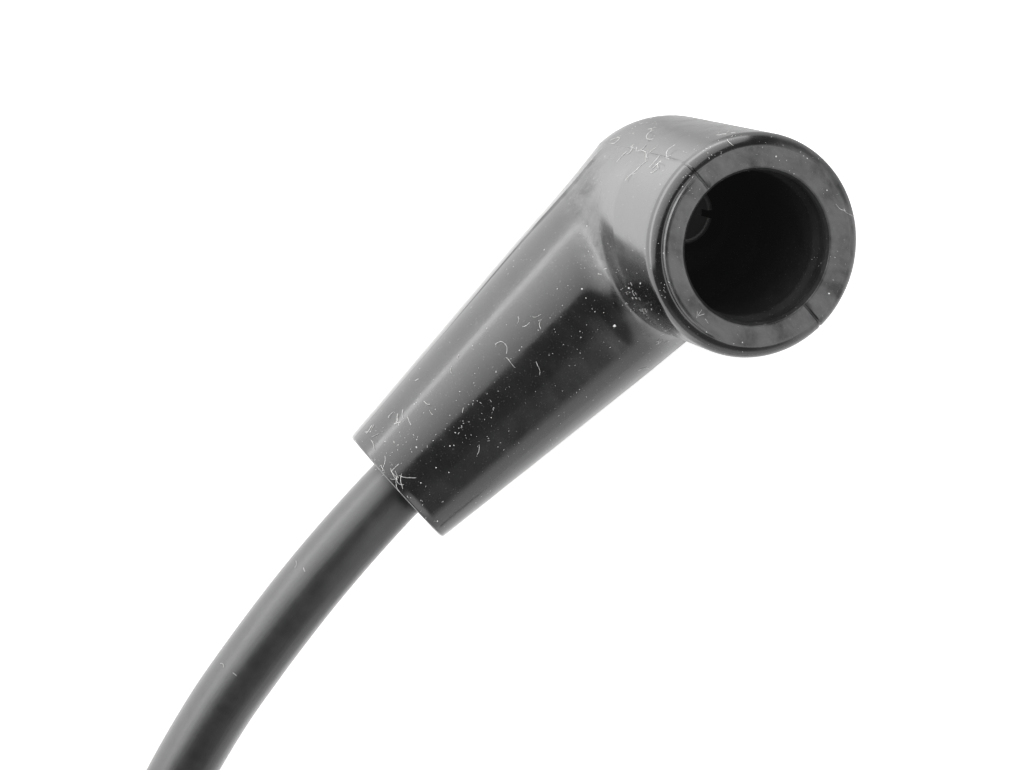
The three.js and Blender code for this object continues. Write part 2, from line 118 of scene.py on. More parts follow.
run_points = [
    ELBOW_EXIT - Vector((CABLE_IN_ELBOW, 0, 0)),
    ELBOW_EXIT - Vector((CABLE_IN_ELBOW / 2, 0, 0)),
    ELBOW_EXIT.copy(),
]
run_points += [Vector((ELBOW_EXIT.x + x, ELBOW_EXIT.y + y, z)) for x, y, z in CABLE_ROUTE]
heading = math.radians(COIL_HEADING)
coil_entry = run_points[-1]
coil_centre = Vector((
    coil_entry.x - COIL_RADIUS * math.sin(heading),
    coil_entry.y + COIL_RADIUS * math.cos(heading),
    0,
))
coil_top = CABLE_REST + 2 * CABLE_RADIUS
climb_start, climb_end, coil_end = (math.radians(turn) for turn in COIL_TURNS)
coil_way = []
turn_steps = round((coil_end - heading) * COIL_RADIUS / CABLE_STEP)
for i in range(1, turn_steps + 1):
    at = heading + (coil_end - heading) * i / turn_steps
    climb = min(1, max(0, (at - climb_start) / (climb_end - climb_start)))
    coil_way.append(Vector((
        coil_centre.x + COIL_RADIUS * math.sin(at),
        coil_centre.y - COIL_RADIUS * math.cos(at),
        CABLE_REST + (coil_top - CABLE_REST) * (1 - math.cos(math.pi * climb)) / 2,
    )))
tail_y = coil_centre.y + COIL_RADIUS
plug_rim = Vector((coil_centre.x - COIL_EXIT_RUN, tail_y, PLUG_HEIGHT))
tail_points = [
    coil_way[-1],
    Vector((coil_centre.x - 0.3 * COIL_EXIT_RUN, tail_y, coil_top)),
    Vector((coil_centre.x - 0.7 * COIL_EXIT_RUN, tail_y, PLUG_HEIGHT)),
    plug_rim,
    plug_rim - Vector((CABLE_IN_PLUG, 0, 0)),
]
cable_way = smooth_way(run_points, CABLE_STEP, after=coil_way[7]) + coil_way
cable_way += smooth_way(tail_points, CABLE_STEP, before=coil_way[-9])[1:]


def plain_mesh(source, name):
    """The finished mesh of an object with modifiers, as a new object in its place."""
    bpy.context.view_layer.update()
    evaluated = source.evaluated_get(bpy.context.evaluated_depsgraph_get())
    mesh = bpy.data.meshes.new_from_object(evaluated)
    mesh.name = name
    data = source.data
    bpy.data.objects.remove(source)
    if isinstance(data, bpy.types.Curve):
        bpy.data.curves.remove(data)
    else:
        bpy.data.meshes.remove(data)
    return new_object(name, mesh)


class Nodes:
    """A node tree, and short ways to add a node to it. Each gives the new node's result."""

    def __init__(self, tree):
        self.tree = tree

    def feed(self, node, inputs):
        """Give a node's inputs, by name or number, values or other nodes' results."""
        for key, value in inputs.items():
            if isinstance(value, bpy.types.NodeSocket):
                self.tree.links.new(value, node.inputs[key])
            else:
                node.inputs[key].default_value = value

    def add(self, kind, inputs=None, result=0, **settings):
        node = self.tree.nodes.new(kind)
        for key, value in settings.items():
            setattr(node, key, value)
        self.feed(node, inputs or {})
        return node.outputs[result]

    def place(self):
        """Places in the object's own space."""
        return self.add("ShaderNodeTexCoord", result="Object")

    def mark(self, name, result="Fac"):
        """A value or place that is stored on the mesh."""
        return self.add("ShaderNodeAttribute", result=result, attribute_name=name)

    def split(self, way):
        return self.add("ShaderNodeSeparateXYZ", {0: way}).node.outputs

    def stretched(self, way, scale):
        return self.add("ShaderNodeVectorMath", {0: way, 1: scale}, operation="MULTIPLY")

    def towards(self, way, side):
        """How far a place lies, or a way points, to a side."""
        return self.add("ShaderNodeVectorMath", {0: way, 1: side}, "Value", operation="DOT_PRODUCT")

    def calc(self, operation, *values):
        return self.add("ShaderNodeMath", dict(enumerate(values)), operation=operation)

    def mix(self, kind, factor, a, b):
        return self.add("ShaderNodeMix", {"Factor": factor, "A": a, "B": b}, "Result", data_type=kind)

    def noise(self, place, scale, detail, **inputs):
        inputs.update(Vector=place, Scale=scale, Detail=detail)
        return self.add("ShaderNodeTexNoise", inputs, "Fac")

    def spread(self, source, low, high, to_low, to_high):
        """A value that goes from to_low to to_high while the source goes from low to high."""
        return self.add("ShaderNodeMapRange", {
            "Value": source, "From Min": low, "From Max": high, "To Min": to_low, "To Max": to_high,
        }, "Result")

    def shades(self, source, low, high, dark, light):
        """A colour that goes from dark to light while the source goes from low to high."""
        ramp = self.add("ShaderNodeValToRGB", {"Fac": source}, "Color")
        for element, at, colour in zip(ramp.node.color_ramp.elements, (low, high), (dark, light)):
            element.position = at
            element.color = (*colour, 1)
        return ramp

    def bump(self, height, strength, distance, **under):
        inputs = {"Height": height, "Strength": strength, "Distance": distance, **under}
        return self.add("ShaderNodeBump", inputs, "Normal")


def new_material(name):
    """A material, its nodes and its shader."""
    made = bpy.data.materials.new(name)
    made.use_nodes = True
    return made, Nodes(made.node_tree), made.node_tree.nodes["Principled BSDF"]


# The jacket: matte dark grey rubber with the fine lines of its extrusion along it and a
# faint chalky bloom. Its pattern lies on the cable by the places round it and along it.
jacket, nodes, shader = new_material("cable_jacket_rubber")
ring_place = nodes.split(nodes.mark("ring", "Vector"))
jacket_place = nodes.add("ShaderNodeCombineXYZ", {
    "X": ring_place["X"], "Y": ring_place["Y"], "Z": nodes.mark("along")})
bloom = nodes.noise(jacket_place, 420, 5, Roughness=0.65)
draw_lines = nodes.noise(nodes.stretched(jacket_place, (1, 1, 0.04)), 2600, 3, Roughness=0.6)
drawn = nodes.bump(draw_lines, 0.35, 0.00004)
grained = nodes.bump(nodes.noise(jacket_place, 5200, 2), 0.3, 0.00003, Normal=drawn)
nodes.feed(shader, {
    "IOR": 1.78,
    "Base Color": nodes.shades(bloom, 0.35, 0.75, (0.022, 0.022, 0.0225), (0.036, 0.036, 0.0365)),
    "Roughness": nodes.spread(bloom, 0, 1, 0.3, 0.4),
    "Normal": nodes.bump(nodes.noise(jacket_place, 90, 2), 0.5, 0.0002, Normal=grained),
})


def geometry_nodes(name, **settings):
    """A Geometry Nodes group with its settings: its nodes, its inputs and its last node."""
    tree = bpy.data.node_groups.new(name, "GeometryNodeTree")
    for label, kind in (("Geometry", "Geometry"), *settings.items()):
        tree.interface.new_socket(label, in_out="INPUT", socket_type="NodeSocket" + kind)
    tree.interface.new_socket("Geometry", in_out="OUTPUT", socket_type="NodeSocketGeometry")
    return Nodes(tree), tree.nodes.new("NodeGroupInput").outputs, tree.nodes.new("NodeGroupOutput")


def grown(source, group, name, **settings):
    """What a Geometry Nodes group makes of an object, as a plain mesh."""
    maker = source.modifiers.new(name, "NODES")
    maker.node_group = group.tree
    for socket in group.tree.interface.items_tree:
        if socket.name in settings:
            maker[socket.identifier] = settings[socket.name]
    return plain_mesh(source, name)


# Geometry Nodes draw a round strand along its way. Each point keeps its place round the
# strand and along it, so that the jacket's lines follow it through the coil.
sweep, given, finished = geometry_nodes("sweep", Radius="Float", Sides="Int", Finish="Material")
swept_way = sweep.add("GeometryNodeStoreNamedAttribute", {
    "Geometry": given["Geometry"], "Name": "along",
    "Value": sweep.add("GeometryNodeSplineParameter", result="Length"),
}, data_type="FLOAT", domain="POINT")
circle = sweep.add("GeometryNodeCurvePrimitiveCircle", {
    "Radius": given["Radius"], "Resolution": given["Sides"]})
section = sweep.add("GeometryNodeStoreNamedAttribute", {
    "Geometry": circle, "Name": "ring", "Value": sweep.add("GeometryNodeInputPosition"),
}, data_type="FLOAT_VECTOR", domain="POINT")
tube = sweep.add("GeometryNodeCurveToMesh", {
    "Curve": swept_way, "Profile Curve": section, "Fill Caps": True})
tube = sweep.add("GeometryNodeSetShadeSmooth", {"Geometry": tube})
tube = sweep.add("GeometryNodeRealizeInstances", {"Geometry": tube})
tube = sweep.add("GeometryNodeSetMaterial", {"Geometry": tube, "Material": given["Finish"]})
sweep.feed(finished, {"Geometry": tube})


def swept(name, ways, radius, sides, finish):
    """Round strands along ways of points, as one mesh."""
    curve = bpy.data.curves.new(name + "_ways", "CURVE")
    curve.dimensions = "3D"
    for way in ways:
        strand = curve.splines.new("POLY")
        strand.points.add(len(way) - 1)
        for spot, place in zip(strand.points, way):
            spot.co = (*place, 1)
    source = new_object(name + "_ways", curve)
    return grown(source, sweep, name, Radius=radius, Sides=sides, Finish=finish)


cable = swept(
    "ignition_cable", [[place * MM for place in cable_way]], CABLE_RADIUS * MM, CABLE_SIDES, jacket)
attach(cable, "root")
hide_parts("cable_run", "cable_coil", "cable_lead_out")
# The boot's gloss shows the studio, not the coil that lies out of view beside it
cable.visible_glossy = False

# Elbow boot
# The right-angled boot is one moulding of satin black rubber. It was pressed in a mould
# that parts along the outside of the bend, so a fine line of flash runs down both flanks
# and leaves a groove across the mouth's face. It pushes over the coil's tower by hand.
MOUTH_HEIGHT = 26.9
MOUTH_RADIUS = 13.24
MOUTH_ROUNDING = 1.75
BORE_RADIUS = 8.9
BORE_FLOOR = 4.2
LIP_RADIUS = 9.25
GRIP_RADIUS = 4.06
GRIP_START = 38.0
BACK_RADIUS = 13.15
HEAD_TAPER_HEIGHT = 25.0
BODY_ROOT_RADIUS = 13.05
BODY_LENGTH = 47.65
BODY_END_RADIUS = 8.3
BODY_END_ROUNDING = 0.3
BODY_END_LEAN = 0.1
BODY_LEAN_FROM = 36
END_CUT_FROM = 46.5
BEND_FILLET = 4.2
BEND_SOFTENING = 60
BEND_PIVOT = 17.2
FLASH_STAND = 0.15
FACE_GROOVE = 0.22
GROOVE_HALF_WIDTH = 0.2
MOUTH_OUT_OF_TRUE = 0.16
LEFT_FLANK_FULLER = 0.013
RIM_FLASH_RADII = (11.25, 11.32, 11.38, 11.44, 11.5, 11.56, 11.62, 11.68, 11.74, 11.8)
RIM_FLASH_HEIGHTS = (-0.03, -0.07, -0.04, 0.07, 0.13, 0.13, 0.05, -0.07, -0.1, -0.08)
ELBOW_CROSSING = np.array([-17.2, 0.0, 13.15])
# places round the boot, in degrees from the side away from the bend
FLASH_SIDES = (90, 270)
LEFT_FRONT = 216


def elbow_distance(p):
    """How far points stand out of the boot's outer form, from the crossing of its axes."""
    x, y, z = p[..., 0], p[..., 1], p[..., 2]
    head_radius = BACK_RADIUS + (MOUTH_RADIUS - BACK_RADIUS) * np.clip(z / HEAD_TAPER_HEIGHT, 0, 1)
    from_axis = np.hypot(x, y)
    from_centre = np.sqrt(x * x + y * y + z * z)
    head = np.where(z > 0, from_axis - head_radius, from_centre - BACK_RADIUS)
    slope = (BODY_END_RADIUS - BODY_ROOT_RADIUS) / BODY_LENGTH
    lean = math.atan(-slope)
    body_axis = np.hypot(y, z)
    body = (body_axis - BODY_ROOT_RADIUS - slope * x) * math.cos(lean)
    head_normal = np.stack([x, y, np.where(z > 0, 0, z)], -1)
    head_normal /= np.maximum(np.linalg.norm(head_normal, axis=-1, keepdims=True), 1e-9)
    around = np.maximum(body_axis, 1e-9)
    body_normal = np.stack([
        np.full_like(x, math.sin(lean)),
        y / around * math.cos(lean),
        z / around * math.cos(lean),
    ], -1)
    between = np.clip((head_normal * body_normal).sum(-1), -1, 0.9995)
    spread = 1 - between * between
    # the hollow is widest inside the bend and runs out where the forms meet flat
    fillet = BEND_FILLET * np.sqrt(1 - between)
    a = ((fillet - head) - between * (fillet - body)) / spread
    b = ((fillet - body) - between * (fillet - head)) / spread
    hollow = fillet - np.sqrt(np.maximum(a * a + b * b + 2 * a * b * between, 0))
    joined = np.where((a > 0) & (b > 0), hollow, np.minimum(head, body))
    return np.where(x > 0, joined, head)


def outer_ring(centre, outward, angles):
    """Points of the outer form round a centre, in the plane of outward and +Y."""
    ways = np.cos(angles)[:, None] * np.array(outward)
    ways += np.sin(angles)[:, None] * np.array([0, 1, 0])
    # from a point inside the form and one outside, each step halves the search
    near = np.full(len(angles), 1.0)
    far = np.full(len(angles), 19.5)
    for _ in range(36):
        middle = (near + far) / 2
        out = elbow_distance(np.array(centre) + ways * middle[:, None]) > 0
        far = np.where(out, middle, far)
        near = np.where(out, near, middle)
    return np.array(centre) + ways * near[:, None]


# Places round the boot: evenly, and close together at the two lines of flash
FLASH_SPREAD = (0.22, 0.45, 0.7, 1.05, 1.7)
degrees = set(np.linspace(0, 360, 180, endpoint=False).tolist())
for seam in FLASH_SIDES:
    degrees = {d for d in degrees if abs(d - seam) > 2.4}
    degrees |= {seam} | {seam + s * side for s in FLASH_SPREAD for side in (-1, 1)}
angles = np.radians(sorted(degrees))
off_seam = np.min([np.abs(np.degrees(angles) - seam) for seam in FLASH_SIDES], axis=0)

rings = []
# The mouth's bore, from its floor up to the lip, as radius and height
bore_profile = [
    (0.01, BORE_FLOOR), (3, BORE_FLOOR), (5.7, BORE_FLOOR), (6.0, 4.3), (6.2, 4.6), (8.75, 7.8),
    (8.87, 8.0), (BORE_RADIUS, 8.3), *[(BORE_RADIUS, z) for z in np.linspace(9.5, 22.0, 14)],
    (BORE_RADIUS, 22.45), (8.88, 22.62), (8.8, 22.75), (8.62, 22.95), (8.56, 23.1), (8.55, 23.25),
    (8.56, 23.4), (8.62, 23.55), (8.8, 23.72), (8.92, 23.86), (9.12, 24.02), (9.18, 24.15),
    (9.2, 24.35), (9.2, 24.9), (9.2, 25.35), (9.18, 25.5), (9.08, 25.68), (8.94, 25.84),
    (BORE_RADIUS, 25.98), (BORE_RADIUS, 26.2), (BORE_RADIUS, 26.42), (8.93, 26.52), (8.99, 26.6),
    (9.22, 26.82), (9.3, 26.88), (9.4, MOUTH_HEIGHT),
]
# The mouth's face with its thin ring of flash, and the rounding of the outer edge
face_radii = (9.6, 9.9, 10.3, 10.7, 11.0, 11.15, *RIM_FLASH_RADII)
face_profile = [(radius, MOUTH_HEIGHT) for radius in face_radii]
face_profile += [
    (
        MOUTH_RADIUS - MOUTH_ROUNDING + MOUTH_ROUNDING * math.sin(math.radians(t)),
        MOUTH_HEIGHT - MOUTH_ROUNDING + MOUTH_ROUNDING * math.cos(math.radians(t)),
    )
    for t in (16, 24, 32, 40, 48, 56, 64, 72, 80, 85)
]
for radius, height in bore_profile + face_profile:
    # angle 0 looks away from the bend, to -X
    level = np.full_like(angles, height)
    ring = np.stack([-radius * np.cos(angles), radius * np.sin(angles), level], -1)
    if radius in RIM_FLASH_RADII:
        # the flash stands up on the side of the left flank and is trimmed off elsewhere
        left_out = np.abs((np.degrees(angles) - LEFT_FRONT + 180) % 360 - 180)
        stand = np.clip((60 - left_out) / 24, 0, 1)
        ring[:, 2] += stand * RIM_FLASH_HEIGHTS[RIM_FLASH_RADII.index(radius)]
    if radius > LIP_RADIUS:
        groove = np.clip(1 - (np.radians(off_seam) * radius / GROOVE_HALF_WIDTH) ** 2, 0, 1)
        ring[:, 2] -= FACE_GROOVE * groove * min(1, (radius - 9.2) / 0.2)
    rings.append(ring)
outer_start = len(rings)
for height in np.linspace(MOUTH_HEIGHT - MOUTH_ROUNDING, BEND_PIVOT, 10):
    rings.append(outer_ring((0, 0, height), (-1, 0, 0), angles))
for turn in np.radians(np.linspace(0, 90, 91)[1:]):
    out = (-math.cos(turn), 0, -math.sin(turn))
    reach = BEND_PIVOT / max(math.cos(turn), math.sin(turn))
    centre = (BEND_PIVOT + reach * out[0], 0, BEND_PIVOT + reach * out[2])
    rings.append(outer_ring(centre, out, angles))
for x in np.linspace(BEND_PIVOT, BODY_LENGTH - BODY_END_ROUNDING, 34)[1:]:
    leaning = (x - BODY_LEAN_FROM) / (BODY_LENGTH - BODY_END_ROUNDING - BODY_LEAN_FROM)
    lean = BODY_END_LEAN * np.clip(leaning, 0, 1)
    rings.append(outer_ring((x, 0, 0), (-lean, 0, -1), angles))
outer_end = len(rings)

# The bend's hollow runs softly into the head and the body
skin = np.stack(rings[outer_start:outer_end])
nearest = np.abs(np.stack([
    np.hypot(skin[..., 0], skin[..., 1]) - BACK_RADIUS,
    np.hypot(skin[..., 1], skin[..., 2]) - BODY_ROOT_RADIUS
    + (BODY_ROOT_RADIUS - BODY_END_RADIUS) / BODY_LENGTH * skin[..., 0],
])).max(axis=0)
soft = np.clip(1.3 - nearest / 4, 0, 1)[..., None] * (skin[..., :1] > 0)
for _ in range(BEND_SOFTENING):
    along = (np.roll(skin, 1, 0) + np.roll(skin, -1, 0)) / 2
    around = (np.roll(skin, 1, 1) + np.roll(skin, -1, 1)) / 2
    along[0], along[-1] = skin[0], skin[-1]
    skin = skin + soft * ((along + around) / 2 - skin) * 0.6
rings[outer_start:outer_end] = list(skin)

# The line of flash stands along the middle of both flanks, most at the head; the right
# one and the body's are nearly worn off
for i in range(outer_start, outer_end):
    ring = rings[i]
    centre = ring.mean(axis=0)
    out = ring - centre
    size = np.linalg.norm(out, axis=1, keepdims=True)
    ridge = np.clip(1 - np.abs(off_seam) / 1.0, 0, 1)[:, None]
    fade = min(1, (i - outer_start) / 3) * np.clip((34 - centre[0]) / 22, 0.1, 1)
    side = np.where(ring[:, 1:2] > 0, 0.1, 1)
    rings[i] = ring + out / size * ridge * FLASH_STAND * fade * side

# The cable's rim: a small rounding, the end face, and the hole that grips the cable
rim_profile = [
    (BODY_END_RADIUS - BODY_END_ROUNDING + BODY_END_ROUNDING * math.cos(math.radians(t)),
     BODY_LENGTH - BODY_END_ROUNDING + BODY_END_ROUNDING * math.sin(math.radians(t)))
    for t in (18, 36, 54, 72, 90)
]
rim_profile += [(radius, BODY_LENGTH) for radius in (7.4, 6.6, 5.8, 5.0, 4.5)]
rim_profile += [
    (radius, BODY_LENGTH - back) for radius, back in
    ((4.3, 0.03), (4.16, 0.12), (4.09, 0.24), (GRIP_RADIUS, 0.4), (GRIP_RADIUS, 1.3))
]
rim_profile += [
    (GRIP_RADIUS, 43.5), (GRIP_RADIUS, 41.2), (4.3, 40.9), (4.3, GRIP_START), (0.01, GRIP_START)]
for radius, x in rim_profile:
    # the end is cut off a little out of square
    lean = -BODY_END_LEAN * radius * np.cos(angles) * (x > END_CUT_FROM)
    rings.append(np.stack([x + lean, radius * np.sin(angles), -radius * np.cos(angles)], -1))


def closed_object(name, points, faces):
    """An object of one or more closed forms, with all faces turned outward."""
    mesh = bpy.data.meshes.new(name)
    mesh.from_pydata(points, [], faces)
    work = bmesh.new()
    work.from_mesh(mesh)
    bmesh.ops.recalc_face_normals(work, faces=work.faces)
    if work.calc_volume(signed=True) < 0:
        bmesh.ops.reverse_faces(work, faces=work.faces)
    work.to_mesh(mesh)
    work.free()
    mesh.shade_smooth()
    return new_object(name, mesh)


def ring_form(name, rings):
    """A closed form through rings of points, with a fan over its first and last ring."""
    count = len(rings[0])
    points = np.concatenate(rings).tolist()
    first, last, end = len(points), len(points) + 1, (len(rings) - 1) * count
    points += [np.mean(rings[0], axis=0).tolist(), np.mean(rings[-1], axis=0).tolist()]
    faces = []
    for i in range(len(rings) - 1):
        for j in range(count):
            k = (j + 1) % count
            faces.append((i * count + j, i * count + k, (i + 1) * count + k, (i + 1) * count + j))
    for j in range(count):
        k = (j + 1) % count
        faces += [(first, k, j), (last, end + j, end + k)]
    return closed_object(name, points, faces)


rings = [(ring + ELBOW_CROSSING) * MM for ring in rings]
boot_form = ring_form("boot_form", rings)

# Inside the rubber: the well for the terminal's socket, and the way of the crimps and
# the cable. Both are cut out of the moulding.
SOCKET_SHIFT = 1.6
WELL_RADIUS = 4.2
WELL_FLOOR = -6.1
WELL_PROFILE = (
    (0.01, WELL_FLOOR), (WELL_RADIUS, WELL_FLOOR), (WELL_RADIUS, 0),
    (WELL_RADIUS, BORE_FLOOR - 0.2), (WELL_RADIUS + 0.1, BORE_FLOOR - 0.05),
    (WELL_RADIUS + 0.3, BORE_FLOOR + 0.1), (0.01, BORE_FLOOR + 0.4),
)
CRIMP_WAY_PROFILE = (
    (0.01, 0), (2.9, 0), (2.9, 17.9), (5.1, 17.9), (5.1, 29.3), (4.25, 30.1), (4.25, 38.5),
    (0.01, 38.5),
)
way_angles = np.radians(np.linspace(0, 360, 64, endpoint=False))
across, aside = np.cos(way_angles), np.sin(way_angles)
well_rings = [
    np.stack([radius * across - SOCKET_SHIFT, radius * aside, np.full_like(aside, height)], -1)
    for radius, height in WELL_PROFILE
]
crimp_way_rings = [
    np.stack([np.full_like(aside, x), radius * aside, -radius * across], -1)
    for radius, x in CRIMP_WAY_PROFILE
]
boot_cutters = [
    ring_form(name, [(ring + ELBOW_CROSSING) * MM for ring in cutter_rings])
    for name, cutter_rings in (("socket_well", well_rings), ("crimp_way", crimp_way_rings))
]
for cutter in boot_cutters:
    cut = boot_form.modifiers.new(cutter.name, "BOOLEAN")
    cut.operation = "DIFFERENCE"
    cut.solver = "EXACT"
    cut.object = cutter
elbow_boot = plain_mesh(boot_form, "right_angle_boot")
for cutter in boot_cutters:
    bpy.data.objects.remove(cutter)
elbow_boot.data.shade_smooth()
elbow_boot.data.set_sharp_from_angle(angle=math.radians(40))
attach(elbow_boot, "root")
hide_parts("elbow_boot")


def rubber(name, shades, gloss, dull_shades, dull_gloss, grain=0.1, ior=1.75, painted_glow=0):
    """Black moulded rubber with its shades and roughnesses, and those where it is dull."""
    made, nodes, shader = new_material(name)
    place = nodes.place()
    dull = nodes.mark("dull")
    wiped = nodes.add("ShaderNodeMapping", {
        "Vector": place, "Rotation": (0, 0, math.radians(45)), "Scale": (1, 0.6, 1)})
    smudges = nodes.noise(wiped, 330, 7, Roughness=0.6, Distortion=0.2)
    shade, dull_shade = [
        nodes.shades(smudges, 0.36, 0.64, (dark, dark, dark * 1.02), (light, light, light * 1.01))
        for dark, light in (shades, dull_shades)
    ]
    # a film of fine dust that only shows as faint pale points
    powder = nodes.spread(nodes.noise(place, 5200, 2), 0.66, 0.76, 0, 0.6)
    shade = nodes.mix("RGBA", powder, nodes.mix("RGBA", dull, shade, dull_shade), (0.2, 0.2, 0.195, 1))
    rough, dull_rough = [nodes.spread(smudges, 0.35, 0.65, *ends) for ends in (gloss, dull_gloss)]
    shine = nodes.mix("FLOAT", dull, 0.5, nodes.spread(smudges, 0.34, 0.66, 0.3, 1.1))
    wavy = nodes.bump(nodes.noise(place, 70, 3), 0.12, 0.0004)
    nodes.feed(shader, {
        "IOR": ior,
        "Base Color": shade,
        "Roughness": nodes.mix("FLOAT", dull, rough, dull_rough),
        "Specular IOR Level": shine,
        "Normal": nodes.bump(nodes.noise(place, 2600, 4, Roughness=0.6), grain, 0.00004, Normal=wavy),
        # painted glow: emission that lifts the dark rubber where painted_glow is set
        "Emission Color": (1, 1, 1, 1),
        "Emission Strength": painted_glow,
    })
    return made


# The outside is satin from the polished mould, and the trimmed faces of the mouth and of
# the cable's end are duller and mottled. The bore is dull and dark, and a faint painted
# glow (emission) lifts its darkness a little.
boot_rubber = rubber(
    "satin_boot_rubber", (0.011, 0.017), (0.14, 0.22), (0.013, 0.064), (0.27, 0.58))
bore_rubber = rubber(
    "bore_rubber", (0.016, 0.027), (0.5, 0.65), (0.016, 0.027), (0.5, 0.65),
    grain=0.5, ior=1.2, painted_glow=0.0035)
elbow_boot.data.materials.append(boot_rubber)
elbow_boot.data.materials.append(bore_rubber)
spots = np.array([vertex.co for vertex in elbow_boot.data.vertices]) / MM - ELBOW_CROSSING
from_head_axis = np.hypot(spots[:, 0], spots[:, 1])
from_body_axis = np.hypot(spots[:, 1], spots[:, 2])
way_round = np.degrees(np.arctan2(spots[:, 1], -spots[:, 0]))
from_left = np.abs((way_round - LEFT_FRONT + 180) % 360 - 180)
rounding_dull = np.clip((from_left - 100) / 35, 0, 1)
face_dull = np.clip((11.9 - from_head_axis) / 0.4, 0, 1)
on_mouth = spots[:, 2] > MOUTH_HEIGHT - 1.6
dull_spots = np.where(on_mouth, np.maximum(face_dull, rounding_dull), 0)
on_end = (spots[:, 0] > BODY_LENGTH - 1.2) & (from_body_axis < BODY_END_RADIUS - 0.1)
dull_spots = np.where(on_end, 0.8, dull_spots)
# dust has dulled the hollow of the bend
off_body = from_body_axis - BODY_ROOT_RADIUS + 0.1 * spots[:, 0]
crease = np.maximum(np.abs(from_head_axis - BACK_RADIUS), np.abs(off_body))
in_crease = (spots[:, 0] > 0) & (spots[:, 2] > 0)
dull_spots = np.maximum(dull_spots, in_crease * np.clip(0.6 - crease / 4.8, 0, 0.5))
dull_attribute = elbow_boot.data.attributes.new("dull", "FLOAT", "POINT")
dull_attribute.data.foreach_set("value", dull_spots.astype(np.float32))
for face in elbow_boot.data.polygons:
    x, y, z = np.array(face.center) / MM - ELBOW_CROSSING
    in_bore = math.hypot(x, y) < LIP_RADIUS and z > BORE_FLOOR - 0.1
    in_body = math.hypot(y, z) < 5.2 and x > -3
    in_well = math.hypot(x + SOCKET_SHIFT, y) < WELL_RADIUS + 0.35 and z > WELL_FLOOR - 0.1
    if in_bore or in_body or in_well:
        face.material_index = 1

# The rubber came out of its mould a little crooked: the head leans over to the far side
# of the mouth, and the body is fuller on its left flank
for vertex in elbow_boot.data.vertices:
    x, y, z = np.array(vertex.co) / MM - ELBOW_CROSSING
    lean = MOUTH_OUT_OF_TRUE * min(1, max(0, z / MOUTH_HEIGHT))
    fuller = LEFT_FLANK_FULLER * min(0, y) * min(1, max(0, (x - 6) / 10))
    vertex.co = (np.array((x + lean, y + lean + fuller, z)) + ELBOW_CROSSING) * MM
elbow_boot.data.update()

# Elbow terminal
# Pressed from thin tinned steel sheet: a slotted cup with a rolled rim that snaps on the
# tower's post, a narrow neck, and two crimps that grip the conductor and the jacket.
SHEET = 0.5
SOCKET_BORE_RADIUS = 3.2
SOCKET_RIM_HEIGHT = 1.2
SOCKET_DEPTH = 6.5
SOCKET_SLOT = 0.9
SLOT_FLOOR = -1.875


def turned_piece(loop, start, end, steps, place):
    """Points and faces of a closed profile of radius and height, turned between two angles."""
    whole = end - start >= 360
    stations = steps if whole else steps + 1
    points, faces = [], []
    for i in range(stations):
        turn = math.radians(start + (end - start) * i / steps)
        across, up = math.cos(turn), math.sin(turn)
        points += [place(radius * across, radius * up, height) for radius, height in loop]
    count = len(loop)
    for i in range(steps):
        for j in range(count):
            k = (j + 1) % count
            a, b = i * count, (i + 1) % stations * count
            faces.append((a + j, b + j, b + k, a + k))
    if not whole:
        faces.append(tuple(range(count)))
        faces.append(tuple(reversed(range(steps * count, (steps + 1) * count))))
    return points, faces


def joined_pieces(name, pieces, finish, sharp=35):
    """One object from closed pieces of points and faces, in millimetres."""
    points, faces = [], []
    for more_points, more_faces in pieces:
        faces += [tuple(index + len(points) for index in face) for face in more_faces]
        points += [tuple(value * MM for value in point) for point in more_points]
    made = closed_object(name, points, faces)
    made.data.set_sharp_from_angle(angle=math.radians(sharp))
    made.data.materials.append(finish)
    return made


def metal(name, colour, gloss, painted_glow=0):
    """Thin plated metal with drawing marks, faint stains and worn gloss."""
    made, nodes, shader = new_material(name)
    place = nodes.place()
    stains = nodes.noise(place, 420, 5, Roughness=0.6)
    marks = nodes.noise(nodes.stretched(place, (0.15, 1, 1)), 3800, 3)
    nodes.feed(shader, {
        "Metallic": 1,
        "Base Color": nodes.shades(stains, 0.3, 0.7, [0.72 * value for value in colour], colour),
        "Roughness": nodes.spread(stains, 0, 1, *gloss),
        "Normal": nodes.bump(marks, 0.25, 0.00002),
        # painted glow: emission that lifts the dark metal where painted_glow is set
        "Emission Color": (1, 1, 1, 1),
        "Emission Strength": painted_glow,
    })
    return made


# The tinned steel has a painted glow like the bore's: it emits a little light of its own, in the cup
# and on the plug terminal
tinned_steel = metal("tinned_steel", (0.22, 0.22, 0.215), (0.25, 0.45), painted_glow=0.008)


def in_cup(x, y, z):
    """From the socket's own axis to the frame, in millimetres."""
    return (x - SOCKET_SHIFT + ELBOW_CROSSING[0], y, z + ELBOW_CROSSING[2])


def along_body(x, y, z):
    """From a turned form along the body to the frame, in millimetres."""
    return (z + ELBOW_CROSSING[0], x, y + ELBOW_CROSSING[2])


